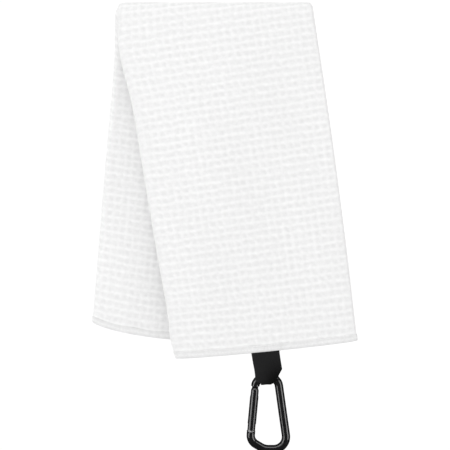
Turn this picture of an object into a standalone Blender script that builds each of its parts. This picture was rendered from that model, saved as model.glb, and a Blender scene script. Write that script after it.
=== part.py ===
"""A golf towel: waffle cloth folded in three and hung over a rail, with a webbing loop and a carabiner.

Lengths are in metres and angles in radians. +Z is up and the front faces -Y. The origin is the underside
of the fold, where the cloth rests on the rail. Positive angles lean a foot, or raise a right end, to +X.
"""

import math

import bmesh
import bpy
from mathutils import Matrix, Vector

# Clearances between pieces that touch, between a pin and its hole, and around what swings
SEAM_GAP = 0.0003
PIN_GAP = 0.0002
SWING_GAP = 0.0004

# The cloth: a centre panel with a flap from each side folded in behind it
PANEL_WIDTH = 0.160
FLAP_WIDTH = 0.120
CLOTH = 0.0020
LAYERS = 3
CROWN_SPREAD = 1.04
FOOT_SPREAD = 0.975

# How it hangs: over a rail, slightly askew, so that the leaves lean apart
RAIL_RADIUS = 0.0055
SHOULDER = math.radians(45)
FRONT_LENGTH = 0.2975
FRONT_LEAN = math.radians(8.5)
FRONT_HEM_TILT = math.radians(5.7)
BACK_LENGTH = 0.2840
BACK_LEAN = math.radians(-5.9)
BACK_HEM_TILT = math.radians(-6.5)

# The hems, and the thread that holds them
HEM_HEIGHT = 0.0064
HEM_WALL = 0.0006
BACK_HEM_THICKNESS = 0.0026
THREAD = 0.0006
THREAD_LINE = 0.0027
THREAD_MARGIN = 0.0050

# The webbing loop, its ends sewn inside the front hem and its bend gathered around the carabiner
WEBBING = 0.0011
LOOP_WIDTH = 0.0238
LOOP_OFFSET = -0.0013
LOOP_DROP = 0.0220
LOOP_LEAN = math.radians(3.9)
LOOP_PARTING = 0.0035
SEWN_HEIGHT = 0.0056
BOX_STITCH_WIDTH = 0.0200
BOX_STITCH_FOOT = 0.0036
BOX_STITCH_HEIGHT = 0.0020

# The carabiner: the corners of its centreline from its crown's middle (x, z, corner radius)
ROD = 0.0072
CROWN_LEFT = (-0.0094, 0.0, 0.0080)
CROWN_RIGHT = (0.0090, 0.0, 0.0080)
FOOT_RIGHT = (0.0176, -0.0610, 0.0105)
FOOT_MIDDLE = (-0.0024, -0.0610, 0.0120)
FOOT_LEFT = (-0.0144, -0.0539, 0.0085)
CROWN_SAG = 0.0006
GATE_START = 0.00735
GATE_SPAN = 0.0379

# The gate's hinge, latch and spring
TONGUE = 0.0024
HINGE_TONGUE_WIDTH = 0.0052
HINGE_TONGUE_REACH = 0.0030
HINGE_PIN = 0.0020
LATCH_TONGUE_WIDTH = 0.0044
LATCH_TONGUE_LENGTH = 0.0050
LATCH_PIN = 0.0016
LATCH_PIN_HEIGHT = 0.0024
PIN_PROUD = 0.0002
BORE = 0.0034
BORE_LENGTH = 0.0135
PLUNGER = 0.0028
PLUNGER_LENGTH = 0.0040
SPRING_WIRE = 0.0005
SPRING_TURNS = 7

# Fineness of round pieces
ROUND_SIDES = 36
FOLD_STEPS = 8
ARC_STEP = math.radians(8)
WIRE_SIDES = 8
TURN_STEPS = 14

X_AXIS = Vector((1.0, 0.0, 0.0))
FRONTWARD = Vector((0.0, -1.0, 0.0))
BACKWARD = Vector((0.0, 1.0, 0.0))
STACK = LAYERS * CLOTH + (LAYERS - 1) * SEAM_GAP
RAIL_AXIS = Vector((0.0, 0.0, -RAIL_RADIUS))


def clear_scene():
    for thing in list(bpy.data.objects):
        bpy.data.objects.remove(thing)


def material(name, colour, roughness, metallic=0.0):
    made = bpy.data.materials.new(name)
    made.use_nodes = True
    shader = made.node_tree.nodes["Principled BSDF"]
    shader.inputs["Base Color"].default_value = (*colour, 1.0)
    shader.inputs["Roughness"].default_value = roughness
    shader.inputs["Metallic"].default_value = metallic
    made.diffuse_color = (*colour, 1.0)
    return made


def add_object(name, bm, look=None, origin=(0.0, 0.0, 0.0)):
    """Makes an object of a mesh given in world coordinates, with its own origin."""
    bmesh.ops.recalc_face_normals(bm, faces=bm.faces)
    bmesh.ops.translate(bm, vec=-Vector(origin), verts=bm.verts)
    mesh = bpy.data.meshes.new(name)
    bm.to_mesh(mesh)
    bm.free()
    mesh.shade_smooth()
    mesh.set_sharp_from_angle(angle=math.radians(35))
    thing = bpy.data.objects.new(name, mesh)
    thing.location = origin
    bpy.context.scene.collection.objects.link(thing)
    if look:
        mesh.materials.append(look)
    return thing


def add_helper(name, bm, owner, operation):
    """Adds a wire-drawn solid to its owner, or cuts it out."""
    helper = add_object(name, bm)
    helper.hide_render = True
    helper.display_type = "WIRE"
    boolean = owner.modifiers.new(name, "BOOLEAN")
    boolean.operation = operation
    boolean.solver = "EXACT"
    boolean.object = helper


def frame(origin, across, outward, spread=1.0):
    """A place to put an outline: its u runs along across and its h along outward."""
    along = across.cross(outward)
    turned = Matrix((across * spread, outward, along)).transposed().to_4x4()
    return Matrix.Translation(origin) @ turned


def sweep(outline, frames):
    """Carries a closed outline of (u, h) points through the frames, extruding it from each to the next."""
    bm = bmesh.new()
    first = bm.faces.new([bm.verts.new(frames[0] @ Vector((u, h, 0.0))) for u, h in outline])
    face = first
    for here, there in zip(frames, frames[1:]):
        grown = bmesh.ops.extrude_face_region(bm, geom=[face])["geom"]
        if face.is_valid and face is not first:
            bmesh.ops.delete(bm, geom=[face], context="FACES_ONLY")
        face = next(part for part in grown if isinstance(part, bmesh.types.BMFace))
        bmesh.ops.transform(bm, matrix=there @ here.inverted(), verts=face.verts)
    return bm


def circle(radius, sides=ROUND_SIDES):
    turns = [math.tau * i / sides for i in range(sides)]
    return [(radius * math.cos(turn), radius * math.sin(turn)) for turn in turns]


def rectangle(left, right, low, high):
    return [(left, low), (right, low), (right, high), (left, high)]


# The cloth's outlines, across the folded towel: u from its middle, h out from the rail


def layer(index):
    """The bottom and top of one layer of the stack, counted from the rail."""
    low = index * (CLOTH + SEAM_GAP)
    return low, low + CLOTH


def fold_radius(index):
    """The outer radius of the side fold that brings a flap round into the given layer."""
    return (STACK - layer(index)[0]) / 2


def flap_outline(side, index):
    """A flap from its free edge to the side fold, and the fold round to the panel's layer."""
    low, high = layer(index)
    outer = fold_radius(index)
    middle = low + outer
    turn_u = PANEL_WIDTH / 2 - outer
    free_u = PANEL_WIDTH / 2 - FLAP_WIDTH
    turns = [math.pi * i / FOLD_STEPS - math.pi / 2 for i in range(FOLD_STEPS + 1)]
    around = [(turn_u + outer * math.cos(t), middle + outer * math.sin(t)) for t in turns]
    inner = outer - CLOTH
    back = [(turn_u + inner * math.cos(t), middle + inner * math.sin(t)) for t in reversed(turns)]
    points = [(free_u, low)] + around + back + [(free_u, high)]
    return [(side * u, h) for u, h in points]


def panel_outline(thickness=CLOTH):
    """The centre panel between the two side folds."""
    low = layer(LAYERS - 1)[0]
    left = -PANEL_WIDTH / 2 + fold_radius(0) + SEAM_GAP
    right = PANEL_WIDTH / 2 - fold_radius(1) - SEAM_GAP
    return rectangle(left, right, low, low + thickness)


CLOTH_PIECES = {
    "panel": panel_outline(),
    "left_flap": flap_outline(-1, 0),
    "right_flap": flap_outline(1, 1),
}


# The cloth's frames: over the rail, and down each leaf


def rail_frame(turn, lean, slip=0.0):
    """On the rail, turned forward from its top, and slipped along the cloth."""
    outward = Vector((0.0, -math.sin(turn), math.cos(turn)))
    along = Vector((0.0, -math.cos(turn), -math.sin(turn)))
    shift = X_AXIS * RAIL_RADIUS * abs(turn) * math.tan(lean)
    origin = RAIL_AXIS + outward * RAIL_RADIUS + along * slip + shift
    return frame(origin, X_AXIS, outward, CROWN_SPREAD)


def leaf_middle(outward, length, lean):
    """The middle of a leaf, on its rail side, at a length along the cloth from the top of the rail."""
    wrapped = RAIL_RADIUS * math.pi / 2
    start = RAIL_AXIS + outward * RAIL_RADIUS + X_AXIS * wrapped * math.tan(lean)
    return start + Vector((math.sin(lean), 0.0, -math.cos(lean))) * (length - wrapped)


def leaf_frame(outward, length, lean, tilt):
    across = Vector((math.cos(tilt), 0.0, math.sin(tilt)))
    return frame(leaf_middle(outward, length, lean), across, outward, FOOT_SPREAD)


def leaf_frames(outward, length, lean, tilt):
    """From the rail's shoulder round to the side, then straight down to the hem."""
    way = 1 if outward == FRONTWARD else -1
    steps = [SHOULDER + (math.pi / 2 - SHOULDER) * i / FOLD_STEPS for i in range(1, FOLD_STEPS + 1)]
    first = rail_frame(way * SHOULDER, lean, way * SEAM_GAP)
    wrap = [rail_frame(way * turn, lean) for turn in steps]
    return [first, *wrap, leaf_frame(outward, length - HEM_HEIGHT - SEAM_GAP, lean, tilt)]


def make_fold(cloth):
    """The part that lies on the rail, between its two shoulders."""
    steps = [SHOULDER * (2 * i / FOLD_STEPS - 1) for i in range(FOLD_STEPS + 1)]
    frames = [rail_frame(t, FRONT_LEAN if t > 0 else BACK_LEAN) for t in steps]
    for piece, outline in CLOTH_PIECES.items():
        add_object(f"fold_{piece}", sweep(outline, frames), cloth)


def make_leaf(name, outward, length, lean, tilt, cloth):
    way = 1 if outward == FRONTWARD else -1
    hinge = hinge_point(way, lean)
    for piece, outline in CLOTH_PIECES.items():
        bm = sweep(outline, leaf_frames(outward, length, lean, tilt))
        add_object(f"{name}_{piece}", bm, cloth, hinge)


def hinge_point(way, lean):
    """Where a leaf bends: the outer face of the cloth at the rail's shoulder."""
    return rail_frame(way * SHOULDER, lean) @ Vector((0.0, STACK, 0.0))


def make_hems(name, outward, length, lean, tilt, thickness, cloth, thread):
    """The turned and stitched bottom edge of each layer, and the thread across the outer one."""
    way = 1 if outward == FRONTWARD else -1
    hinge = hinge_point(way, lean)
    top = leaf_frame(outward, length - HEM_HEIGHT, lean, tilt)
    foot = leaf_frame(outward, length, lean, tilt)
    outlines = dict(CLOTH_PIECES, panel=panel_outline(thickness))
    hems = {}
    for piece, outline in outlines.items():
        hem_name = f"{name}_hem" if piece == "panel" else f"{name}_{piece}_hem"
        hems[piece] = add_object(hem_name, sweep(outline, [top, foot]), cloth, hinge)
    line = leaf_frame(outward, length - THREAD_LINE, lean, tilt)
    reach = PANEL_WIDTH / 2 - THREAD_MARGIN
    height = layer(LAYERS - 1)[0] + thickness + SEAM_GAP + THREAD / 2
    ends = [line @ Vector((u, height, 0.0)) for u in (-reach, reach)]
    across = (ends[1] - ends[0]).normalized()
    frames = [frame(end, across.cross(outward), outward) for end in ends]
    bm = sweep(circle(THREAD / 2, WIRE_SIDES), frames)
    add_object(f"{name}_hem_thread", bm, thread, hinge)
    return hems["panel"]


# The webbing loop


def front_hem_thickness():
    return 2 * (WEBBING + PIN_GAP + HEM_WALL)


def loop_frame(height):
    """At the loop's place on the front hem, a height above its foot: u across, h out from the sewn ends."""
    place = leaf_frame(FRONTWARD, FRONT_LENGTH - height, FRONT_LEAN, FRONT_HEM_TILT)
    depth = layer(LAYERS - 1)[0] + front_hem_thickness() / 2
    across = Vector((math.cos(FRONT_HEM_TILT), 0.0, math.sin(FRONT_HEM_TILT)))
    return frame(place @ Vector((LOOP_OFFSET / FOOT_SPREAD, depth, 0.0)), across, FRONTWARD)


def loop_hinge():
    """Where the loop bends, just under the hem."""
    return loop_frame(-WEBBING - SWING_GAP).translation


def loop_bend():
    """The middle of the loop's bend, where the carabiner swings."""
    return loop_hinge() + Vector((math.sin(LOOP_LEAN), 0.0, -math.cos(LOOP_LEAN))) * LOOP_DROP


def bend_radius():
    """The inside of the bend: round the rod, and round its crown's sag as it swings."""
    return ROD / 2 + CROWN_SAG + SWING_GAP


def gathered_half():
    """Half the loop's width at its bend, clear of the rod that curves down beside it."""
    corner = Vector(CROWN_RIGHT[:2])
    turn = Vector((1.0, 0.0)).angle(Vector(FOOT_RIGHT[:2]) - corner)
    straight = corner.x - CROWN_RIGHT[2] * math.tan(turn / 2)
    room = CROWN_RIGHT[2] - ROD / 2
    level = CROWN_RIGHT[2] - CROWN_SAG - bend_radius()
    return straight + math.sqrt(room**2 - level**2) - SWING_GAP


def egg(top_y, top_radius, foot_y, foot_radius):
    """The outline around a small circle and a larger one below it, in (depth, height)."""
    slope = math.asin((foot_radius - top_radius) / (top_y - foot_y))
    points = []
    for i in range(FOLD_STEPS + 1):
        turn = slope + (math.pi - 2 * slope) * i / FOLD_STEPS
        points.append((top_radius * math.cos(turn), top_y + top_radius * math.sin(turn)))
    for i in range(TURN_STEPS + 1):
        turn = math.pi - slope + (math.pi + 2 * slope) * i / TURN_STEPS
        points.append((foot_radius * math.cos(turn), foot_y + foot_radius * math.sin(turn)))
    left = [mixed(points[FOLD_STEPS], points[FOLD_STEPS + 1], i / FOLD_STEPS) for i in range(1, FOLD_STEPS)]
    right = [mixed(points[-1], points[0], i / FOLD_STEPS) for i in range(1, FOLD_STEPS)]
    return points[: FOLD_STEPS + 1] + left + points[FOLD_STEPS + 1 :] + right


def mixed(start, end, share):
    return tuple(a + (b - a) * share for a, b in zip(start, end))


def ring(outer, inner, left, right):
    """The band between two outlines of (depth, height), from x = left to x = right."""
    bm = bmesh.new()
    edges = []
    for outline in (outer, inner):
        verts = [bm.verts.new((left, y, z)) for y, z in outline]
        edges += [bm.edges.new(pair) for pair in zip(verts, verts[1:] + verts[:1])]
    bmesh.ops.bridge_loops(bm, edges=edges)
    grown = bmesh.ops.extrude_face_region(bm, geom=bm.faces[:])["geom"]
    verts = [part for part in grown if isinstance(part, bmesh.types.BMVert)]
    bmesh.ops.translate(bm, vec=X_AXIS * (right - left), verts=verts)
    return bm


def make_sewn_ends(hem, webbing, thread):
    """The loop's ends inside the hem's pocket, and the box stitch through them."""
    hinge = hinge_point(1, FRONT_LEAN)
    tab = rectangle(-LOOP_WIDTH / 2, LOOP_WIDTH / 2, -WEBBING, WEBBING)
    bm = sweep(tab, [loop_frame(SEWN_HEIGHT), loop_frame(0.0)])
    add_object("loop_sewn_ends", bm, webbing, hinge)
    half = LOOP_WIDTH / 2 + PIN_GAP
    deep = WEBBING + PIN_GAP
    pocket = rectangle(-half, half, -deep, deep)
    bm = sweep(pocket, [loop_frame(SEWN_HEIGHT + PIN_GAP), loop_frame(-HEM_HEIGHT)])
    add_helper("loop_pocket", bm, hem, "DIFFERENCE")
    half = BOX_STITCH_WIDTH / 2
    low = BOX_STITCH_FOOT
    high = low + BOX_STITCH_HEIGHT
    outer = rectangle(-half, half, low, high)
    inner = rectangle(-half + THREAD, half - THREAD, low + THREAD, high - THREAD)
    proud = front_hem_thickness() / 2 + SEAM_GAP
    bm = ring(outer, inner, proud, proud + THREAD)
    foot = loop_frame(0.0)
    onto_hem = Matrix.Translation(foot.translation) @ Matrix.Rotation(-FRONT_HEM_TILT, 4, "Y")
    bmesh.ops.rotate(bm, cent=(0, 0, 0), matrix=Matrix.Rotation(-math.pi / 2, 3, "Z"), verts=bm.verts)
    bmesh.ops.transform(bm, matrix=onto_hem, verts=bm.verts)
    add_object("loop_stitching", bm, thread, hinge)


def make_loop(webbing):
    """The free part of the loop: two plies from the hem, round the carabiner's crown, gathered there."""
    hinge = loop_hinge()
    bend = loop_bend()
    drop = hinge.z - bend.z
    inner_radius = bend_radius()
    outer = egg(0.0, WEBBING, -drop, inner_radius + WEBBING)
    inner = egg(-LOOP_PARTING, PIN_GAP, -drop, inner_radius)
    bm = ring(outer, inner, -1.0, 1.0)
    narrow_at = drop - inner_radius - WEBBING
    wide = LOOP_WIDTH / 2
    for vert in bm.verts:
        down = -vert.co.z / drop
        share = min(max(-vert.co.z / narrow_at, 0.0), 1.0)
        share = share * share * (3 - 2 * share)
        half = wide + (gathered_half() - wide) * share
        tilt = math.tan(FRONT_HEM_TILT) * (1 - share)
        side = vert.co.x * half
        vert.co = Vector((hinge.x + (bend.x - hinge.x) * down + side, hinge.y + vert.co.y,
                          hinge.z + vert.co.z + side * tilt))
    add_object("hang_loop", bm, webbing, hinge)


# The carabiner, in its own plane: u across it and z up from its crown's middle


def carabiner_crown():
    return loop_bend() + Vector((0.0, 0.0, CROWN_SAG))


def in_plane(point):
    return carabiner_crown() + Vector((point[0], 0.0, point[1]))


def gate_point(distance):
    """A point on the gate's line, measured from the end of the rod at the hinge towards the latch."""
    top = Vector(CROWN_LEFT[:2])
    foot = Vector(FOOT_LEFT[:2])
    return top + (foot - top).normalized() * (GATE_START + distance)


def gate_frame(distance, spread=1.0):
    """Across the gate's line, with u inward in the carabiner's plane and h to the front."""
    here = in_plane(gate_point(distance))
    along = (in_plane(gate_point(1.0)) - in_plane(gate_point(0.0))).normalized()
    made = frame(here, along.cross(FRONTWARD) * -1, FRONTWARD)
    return made @ Matrix.Diagonal((spread, spread, 1.0, 1.0))


def rod_frames():
    """Along the rod's centreline, from the hinge up, over the crown and round to the latch."""
    stops = [tuple(gate_point(0.0)), CROWN_LEFT, CROWN_RIGHT, FOOT_RIGHT, FOOT_MIDDLE, FOOT_LEFT,
             tuple(gate_point(GATE_SPAN))]
    points = [Vector(stop[:2]) for stop in stops]
    frames = [rod_frame(points[0], points[1] - points[0])]
    for before, corner, after, stop in zip(points, points[1:], points[2:], stops[1:]):
        come = (corner - before).normalized()
        leave = (after - corner).normalized()
        turn = come.angle_signed(leave)
        inset = stop[2] * math.tan(abs(turn) / 2)
        steps = max(2, round(abs(turn) / ARC_STEP))
        side = math.copysign(1, turn)
        centre = corner - come * inset + Vector((come.y, -come.x)) * stop[2] * side
        for i in range(steps + 1):
            angle = -turn * i / steps
            heading = Matrix.Rotation(angle, 2) @ come
            out = Vector((-heading.y, heading.x)) * stop[2] * side
            frames.append(rod_frame(centre + out, heading))
    frames.append(rod_frame(points[-1], points[-1] - points[-2]))
    return frames


def rod_frame(point, heading):
    heading = heading.normalized()
    return frame(in_plane(point), Vector((heading.y, 0.0, -heading.x)), FRONTWARD)


def hinge_distance():
    """How far along the gate's line its pin is, so that the domed end just clears the rod."""
    return ROD / 2 + SWING_GAP


def gate_length():
    """The gate's far end, along its line from the rod's end."""
    return GATE_SPAN - SWING_GAP


def cross_cylinder(distance, inward, radius, half_length):
    """A pin or a hole through the carabiner's thickness, at a place on the gate's line."""
    middle = gate_frame(distance) @ Vector((inward, 0.0, 0.0))
    ends = [middle - FRONTWARD * half_length, middle + FRONTWARD * half_length]
    return sweep(circle(radius), [frame(end, X_AXIS, Vector((0.0, 0.0, 1.0))) for end in ends])


def make_body(metal, steel):
    """The bent rod, with a tongue for the gate's hinge and a notched one for its latch."""
    swing = loop_bend()
    body = add_object("carabiner_body", sweep(circle(ROD / 2), rod_frames()), metal, swing)
    half = TONGUE / 2
    wide = HINGE_TONGUE_WIDTH / 2
    reach = hinge_distance() + HINGE_TONGUE_REACH
    bm = sweep(rectangle(-wide, wide, -half, half), [gate_frame(-ROD / 4), gate_frame(reach)])
    add_helper("hinge_tongue", bm, body, "UNION")
    wide = LATCH_TONGUE_WIDTH / 2
    latch_frames = [gate_frame(gate_length() - LATCH_TONGUE_LENGTH), gate_frame(GATE_SPAN + ROD / 4)]
    add_helper("latch_tongue", sweep(rectangle(-wide, wide, -half, half), latch_frames), body, "UNION")
    pin_at = hinge_distance()
    bm = cross_cylinder(pin_at, 0.0, HINGE_PIN / 2 + PIN_GAP, ROD)
    add_helper("hinge_pin_hole", bm, body, "DIFFERENCE")
    room = LATCH_PIN / 2 + SEAM_GAP
    latch_at = gate_length() - LATCH_PIN_HEIGHT
    notch = rectangle(-room, LATCH_TONGUE_WIDTH, -TONGUE, TONGUE)
    bm = sweep(notch, [gate_frame(latch_at - room), gate_frame(latch_at + room)])
    add_helper("latch_notch", bm, body, "DIFFERENCE")
    bm = cross_cylinder(pin_at, 0.0, HINGE_PIN / 2, ROD / 2 + PIN_PROUD)
    add_object("gate_hinge_pin", bm, steel, swing)


def make_gate(metal, steel):
    """The tubular gate: domed round its hinge pin, slotted at both ends, bored for its spring."""
    pin_at = hinge_distance()
    hinge = gate_frame(pin_at).translation
    dome = [math.radians(6) + math.radians(84) * i / FOLD_STEPS for i in range(FOLD_STEPS + 1)]
    frames = [gate_frame(pin_at - ROD / 2 * math.cos(t), math.sin(t)) for t in dome]
    frames.append(gate_frame(gate_length()))
    gate = add_object("carabiner_gate", sweep(circle(ROD / 2), frames), metal, hinge)
    slot = TONGUE / 2 + SEAM_GAP
    room = math.hypot(HINGE_TONGUE_REACH, HINGE_TONGUE_WIDTH / 2) + 2 * SEAM_GAP
    bm = sweep(rectangle(-ROD, ROD, -slot, slot), [gate_frame(-ROD), gate_frame(pin_at + room)])
    add_helper("hinge_slot", bm, gate, "DIFFERENCE")
    latch_slot = gate_length() - LATCH_TONGUE_LENGTH - SWING_GAP
    bm = sweep(rectangle(-ROD, ROD, -slot, slot), [gate_frame(latch_slot), gate_frame(GATE_SPAN + ROD)])
    add_helper("latch_slot", bm, gate, "DIFFERENCE")
    bore_end = pin_at + room + BORE_LENGTH
    bm = sweep(circle(BORE / 2), [gate_frame(pin_at), gate_frame(bore_end)])
    add_helper("spring_bore", bm, gate, "DIFFERENCE")
    bm = cross_cylinder(pin_at, 0.0, HINGE_PIN / 2 + PIN_GAP, ROD)
    add_helper("gate_pin_hole", bm, gate, "DIFFERENCE")
    latch_at = gate_length() - LATCH_PIN_HEIGHT
    bm = cross_cylinder(latch_at, 0.0, LATCH_PIN / 2 + PIN_GAP, ROD)
    add_helper("latch_pin_hole", bm, gate, "DIFFERENCE")
    bm = cross_cylinder(latch_at, 0.0, LATCH_PIN / 2, ROD / 2 + PIN_PROUD)
    add_object("gate_latch_pin", bm, steel, hinge)
    plunger_at = pin_at + HINGE_TONGUE_REACH + SEAM_GAP
    plunger_end = plunger_at + PLUNGER_LENGTH
    bm = sweep(circle(PLUNGER / 2), [gate_frame(plunger_at), gate_frame(plunger_end)])
    add_object("gate_plunger", bm, steel, gate_frame(plunger_at).translation)
    make_spring(plunger_end + SEAM_GAP, bore_end - SEAM_GAP, steel, hinge)


def make_spring(start, end, steel, origin):
    """A coil in the gate's bore, between the plunger and the bore's end."""
    radius = (BORE - SPRING_WIRE) / 2 - PIN_GAP
    rise = end - start - SPRING_WIRE
    count = SPRING_TURNS * TURN_STEPS
    points = []
    for i in range(count + 1):
        turn = math.tau * i / TURN_STEPS
        place = Vector((radius * math.cos(turn), radius * math.sin(turn), 0.0))
        points.append(gate_frame(start + SPRING_WIRE / 2 + rise * i / count) @ place)
    frames = []
    for i, point in enumerate(points):
        along = (points[min(i + 1, count)] - points[max(i - 1, 0)]).normalized()
        axis = gate_frame(start + SPRING_WIRE / 2 + rise * i / count).translation
        outward = (point - axis).normalized()
        outward = (outward - along * outward.dot(along)).normalized()
        frames.append(frame(point, outward.cross(along), outward))
    add_object("gate_spring", sweep(circle(SPRING_WIRE / 2, WIRE_SIDES), frames), steel, origin)


def main():
    clear_scene()
    cloth = material("waffle_cloth", (0.86, 0.86, 0.85), 0.95)
    thread = material("sewing_thread", (0.90, 0.90, 0.89), 0.80)
    webbing = material("black_webbing", (0.020, 0.020, 0.022), 0.75)
    metal = material("black_anodised", (0.012, 0.012, 0.013), 0.25, 0.6)
    steel = material("bright_steel", (0.55, 0.55, 0.56), 0.30, 1.0)
    make_fold(cloth)
    for name, outward, length, lean, tilt, hem_thickness in (
        ("front", FRONTWARD, FRONT_LENGTH, FRONT_LEAN, FRONT_HEM_TILT, front_hem_thickness()),
        ("back", BACKWARD, BACK_LENGTH, BACK_LEAN, BACK_HEM_TILT, BACK_HEM_THICKNESS),
    ):
        make_leaf(name, outward, length, lean, tilt, cloth)
        hem = make_hems(name, outward, length, lean, tilt, hem_thickness, cloth, thread)
        if outward == FRONTWARD:
            make_sewn_ends(hem, webbing, thread)
    make_loop(webbing)
    make_body(metal, steel)
    make_gate(metal, steel)


main()
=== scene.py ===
"""A white waffle golf towel, folded in three and hung over a rail, with its loop and carabiner.

Lengths are in metres. +Z is up and the front faces -Y. The origin is the top of the unseen rail.
"""

import math

import bmesh
import bpy
import numpy as np
from mathutils import Matrix, Vector


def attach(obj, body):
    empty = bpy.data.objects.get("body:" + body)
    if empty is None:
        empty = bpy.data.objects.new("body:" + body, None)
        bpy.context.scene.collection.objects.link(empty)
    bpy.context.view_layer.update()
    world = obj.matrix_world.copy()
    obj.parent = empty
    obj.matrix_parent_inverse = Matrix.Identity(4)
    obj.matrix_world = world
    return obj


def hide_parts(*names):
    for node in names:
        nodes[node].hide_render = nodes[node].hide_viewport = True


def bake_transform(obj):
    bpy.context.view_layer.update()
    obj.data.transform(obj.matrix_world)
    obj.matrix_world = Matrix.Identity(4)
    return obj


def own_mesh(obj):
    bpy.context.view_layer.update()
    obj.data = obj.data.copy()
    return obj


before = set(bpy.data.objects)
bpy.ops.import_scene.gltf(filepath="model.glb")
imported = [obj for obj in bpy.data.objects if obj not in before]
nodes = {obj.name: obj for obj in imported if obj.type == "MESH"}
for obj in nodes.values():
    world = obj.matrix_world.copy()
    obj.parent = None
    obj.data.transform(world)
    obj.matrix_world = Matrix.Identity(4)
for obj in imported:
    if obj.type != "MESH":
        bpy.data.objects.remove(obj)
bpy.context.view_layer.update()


# The studio: a seamless pale sweep that curves up behind the towel, a large soft light above the camera,
# and a panel at each side and overhead that only draw fine lines of light along the metal rod.

SWEEP_WIDTH = 6.0
SWEEP_FLOOR = -0.70
SWEEP_FRONT = -2.6
SWEEP_BACK = 1.6
SWEEP_RADIUS = 0.7
SWEEP_RISE = 2.4
PALE = (1.0, 1.0, 1.0, 1.0)
SEEN_BRIGHTNESS = 1.04
SOFT_BRIGHTNESS = 0.945
MIRRORED_BRIGHTNESS = 0.05
CAMERA_PLACE = (0.0086, -1.074, -0.1847)
CAMERA_LENS = 100.0
KEY_PLACE = (-1.05, -1.15, 0.45)
KEY_SIZE = 0.9
KEY_POWER = 6.4
STRIPS = {
    "left_strip": ((-1.00, -0.66, -0.36), (0.55, 1.1), 10.5),
    "right_strip": ((1.00, -0.66, -0.36), (0.55, 1.1), 10.5),
    "top_strip": ((0.0, -0.66, 0.70), (2.4, 0.55), 16.0),
}
TOWEL_MIDDLE = (0.0, 0.0, -0.17)
SWEEP_STEPS = 12


def light_by_ray(tree, shader_type, output):
    """Three brightnesses of one pale light: as it lights cloth, as seen, and as metal mirrors it."""
    path = tree.nodes.new("ShaderNodeLightPath")
    lights = []
    for strength in (SOFT_BRIGHTNESS, SEEN_BRIGHTNESS, MIRRORED_BRIGHTNESS):
        light = tree.nodes.new(shader_type)
        light.inputs["Color"].default_value = PALE
        light.inputs["Strength"].default_value = strength
        lights.append(light)
    seen = tree.nodes.new("ShaderNodeMixShader")
    tree.links.new(path.outputs["Is Camera Ray"], seen.inputs[0])
    tree.links.new(lights[0].outputs[0], seen.inputs[1])
    tree.links.new(lights[1].outputs[0], seen.inputs[2])
    mirrored = tree.nodes.new("ShaderNodeMixShader")
    tree.links.new(path.outputs["Is Glossy Ray"], mirrored.inputs[0])
    tree.links.new(seen.outputs[0], mirrored.inputs[1])
    tree.links.new(lights[2].outputs[0], mirrored.inputs[2])
    tree.links.new(mirrored.outputs[0], output.inputs["Surface"])


def add_light(name, place, size, power):
    light = bpy.data.lights.new(name, "AREA")
    light.shape = "RECTANGLE"
    light.size, light.size_y = size
    light.energy = power
    thing = bpy.data.objects.new(name, light)
    thing.location = place
    thing.rotation_euler = (Vector(TOWEL_MIDDLE) - Vector(place)).to_track_quat("-Z", "Y").to_euler()
    bpy.context.scene.collection.objects.link(thing)
    return thing


def make_studio():
    scene = bpy.context.scene
    scene.view_settings.view_transform = "Standard"
    world = bpy.data.worlds.new("soft_room")
    world.use_nodes = True
    scene.world = world
    world.node_tree.nodes.remove(world.node_tree.nodes["Background"])
    light_by_ray(world.node_tree, "ShaderNodeBackground", world.node_tree.nodes["World Output"])
    paper = bpy.data.materials.new("pale_paper")
    paper.use_nodes = True
    paper.node_tree.nodes.remove(paper.node_tree.nodes["Principled BSDF"])
    light_by_ray(paper.node_tree, "ShaderNodeEmission", paper.node_tree.nodes["Material Output"])
    bm = bmesh.new()
    corners = [(SWEEP_FRONT, SWEEP_FLOOR), (SWEEP_BACK - SWEEP_RADIUS, SWEEP_FLOOR)]
    for step in range(1, SWEEP_STEPS + 1):
        turn = math.pi / 2 * step / SWEEP_STEPS
        corners.append((SWEEP_BACK - SWEEP_RADIUS + SWEEP_RADIUS * math.sin(turn),
                        SWEEP_FLOOR + SWEEP_RADIUS * (1 - math.cos(turn))))
    corners.append((SWEEP_BACK, SWEEP_FLOOR + SWEEP_RISE))
    verts = [bm.verts.new((-SWEEP_WIDTH / 2, y, z)) for y, z in corners]
    edges = [bm.edges.new(pair) for pair in zip(verts, verts[1:])]
    grown = bmesh.ops.extrude_edge_only(bm, edges=edges)["geom"]
    moved = [part for part in grown if isinstance(part, bmesh.types.BMVert)]
    bmesh.ops.translate(bm, vec=(SWEEP_WIDTH, 0, 0), verts=moved)
    mesh = bpy.data.meshes.new("paper_sweep")
    bm.to_mesh(mesh)
    bm.free()
    mesh.shade_smooth()
    mesh.materials.append(paper)
    sweep = bpy.data.objects.new("paper_sweep", mesh)
    scene.collection.objects.link(sweep)
    add_light("key_softbox", KEY_PLACE, (KEY_SIZE, KEY_SIZE), KEY_POWER)
    for name, (place, size, power) in STRIPS.items():
        strip = add_light(name, place, size, power)
        strip.visible_diffuse = False
    camera = bpy.data.cameras.new("camera")
    camera.lens = CAMERA_LENS
    thing = bpy.data.objects.new("camera", camera)
    thing.location = CAMERA_PLACE
    thing.rotation_euler = (math.pi / 2, 0, 0)
    scene.collection.objects.link(thing)
    scene.camera = thing


make_studio()


# The cloth: white honeycomb-woven cotton, 0.4 m by 0.6 m, with raised ribs round square pits. Both sides
# are folded in behind a centre panel, and the strip then hangs over the rail in two leaves. It lies askew
# on the rail, so the rows cross it at an angle. Each leaf is one closed sheet, cut at the rail's top.

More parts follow.
